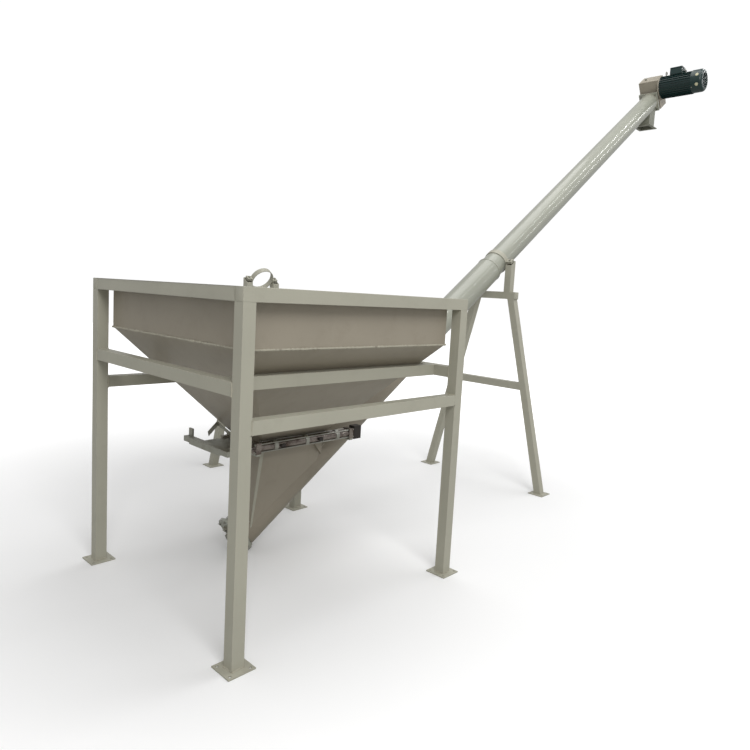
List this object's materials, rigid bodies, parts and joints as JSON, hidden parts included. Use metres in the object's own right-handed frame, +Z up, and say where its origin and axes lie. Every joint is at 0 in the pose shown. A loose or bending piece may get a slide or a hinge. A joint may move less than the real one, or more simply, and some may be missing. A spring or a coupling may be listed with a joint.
{
  "type": "grain auger",
  "caption": "Inclined tube screw feeder with an open square hopper on a tube frame, a slide gate, a trestle stand, a spare stand and a worm gearmotor at the head.",
  "frame": {"origin": "floor point at the centre of the hopper frame's footprint", "axes": "+X from the hopper towards the discharge head, +Y to the far side, +Z up"},
  "size_m": [6.4384, 2.7927, 4.3582],
  "materials": {
    "frame_paint": "satin",
    "hopper_paint": "satin",
    "tube_paint": "satin",
    "plain_steel": "brushed",
    "zinc_steel": "plated",
    "cylinder_alloy": "satin",
    "rod_chrome": "polished",
    "black_plastic": "matte",
    "gearbox_paint": "satin",
    "wheel_bronze": "machined",
    "motor_green": "gloss"
  },
  "bodies": {
    "feeder": {"frame_leg_left_near": "frame_paint", "frame_leg_left_far": "frame_paint", "frame_leg_right_near": "frame_paint", "frame_leg_right_far": "frame_paint", "top_rails": "frame_paint", "low_rails": "frame_paint", "side_rails": "frame_paint", "cradle_beam": "frame_paint", "hopper_band": "hopper_paint", "hopper_cone": "hopper_paint", "outlet_flange": "hopper_paint", "hanger_pads": "frame_paint", "gate_rail_near": "hopper_paint", "gate_rail_far": "hopper_paint", "gate_end_bars": "hopper_paint", "cylinder_front_cap": "cylinder_alloy", "cylinder_rear_cap": "cylinder_alloy", "cylinder_tube": "cylinder_alloy", "cylinder_tie_rods": "zinc_steel", "cylinder_brackets": "tube_paint", "sensor_blocks": "black_plastic", "valve_block": "black_plastic", "inlet_chute": "hopper_paint", "lower_tube": "tube_paint", "upper_tube": "tube_paint", "discharge_spout": "tube_paint", "tail_plate": "tube_paint", "tail_collar": "tube_paint", "tail_bolts": "zinc_steel", "tail_bearing": "tube_paint", "head_plate": "tube_paint", "head_lantern": "tube_paint", "m12_bolts": "zinc_steel", "gearbox_housing": "gearbox_paint", "gearbox_cover": "gearbox_paint", "gearbox_cover_bolts": "zinc_steel", "motor_flange": "gearbox_paint", "motor_shell": "motor_green", "fan_cover": "motor_green", "terminal_box": "motor_green", "lifting_eye": "zinc_steel", "stand_legs": "frame_paint", "stand_beam": "frame_paint", "stand_posts": "frame_paint", "stand_tie": "frame_paint", "stand_saddle": "frame_paint", "stand_strap": "frame_paint", "spare_frame": "frame_paint", "spare_clamp": "frame_paint"},
    "screw": {"screw_shaft": "plain_steel", "screw_flight": "plain_steel", "worm_wheel": "wheel_bronze"},
    "drive_rotor": {"worm_shaft": "plain_steel", "motor_rotor": "plain_steel", "motor_fan": "black_plastic"},
    "gate": {"gate_blade": "plain_steel", "gate_pull_bar": "plain_steel", "piston_rod": "rod_chrome", "rod_clevis": "plain_steel", "clevis_pin": "zinc_steel"}
  },
  "joints": [
    {"name": "auger_spin", "type": "hinge", "parent": "feeder", "child": "screw", "pos_m": [-0.065, 0.29, 0.112], "axis": [0.8151, 0, 0.5793], "continuous": true},
    {"name": "motor_spin", "type": "hinge", "parent": "feeder", "child": "drive_rotor", "pos_m": [5.47528, 0.29, 4.18422], "axis": [0, -1, 0], "continuous": true},
    {"name": "gate_slide", "type": "slide", "parent": "feeder", "child": "gate", "axis": [-1, 0, 0], "range_m": [0, 0.45]}
  ],
  "couplings": [
    {"joint": "motor_spin", "follows": "auger_spin", "ratio": 40}
  ]
}
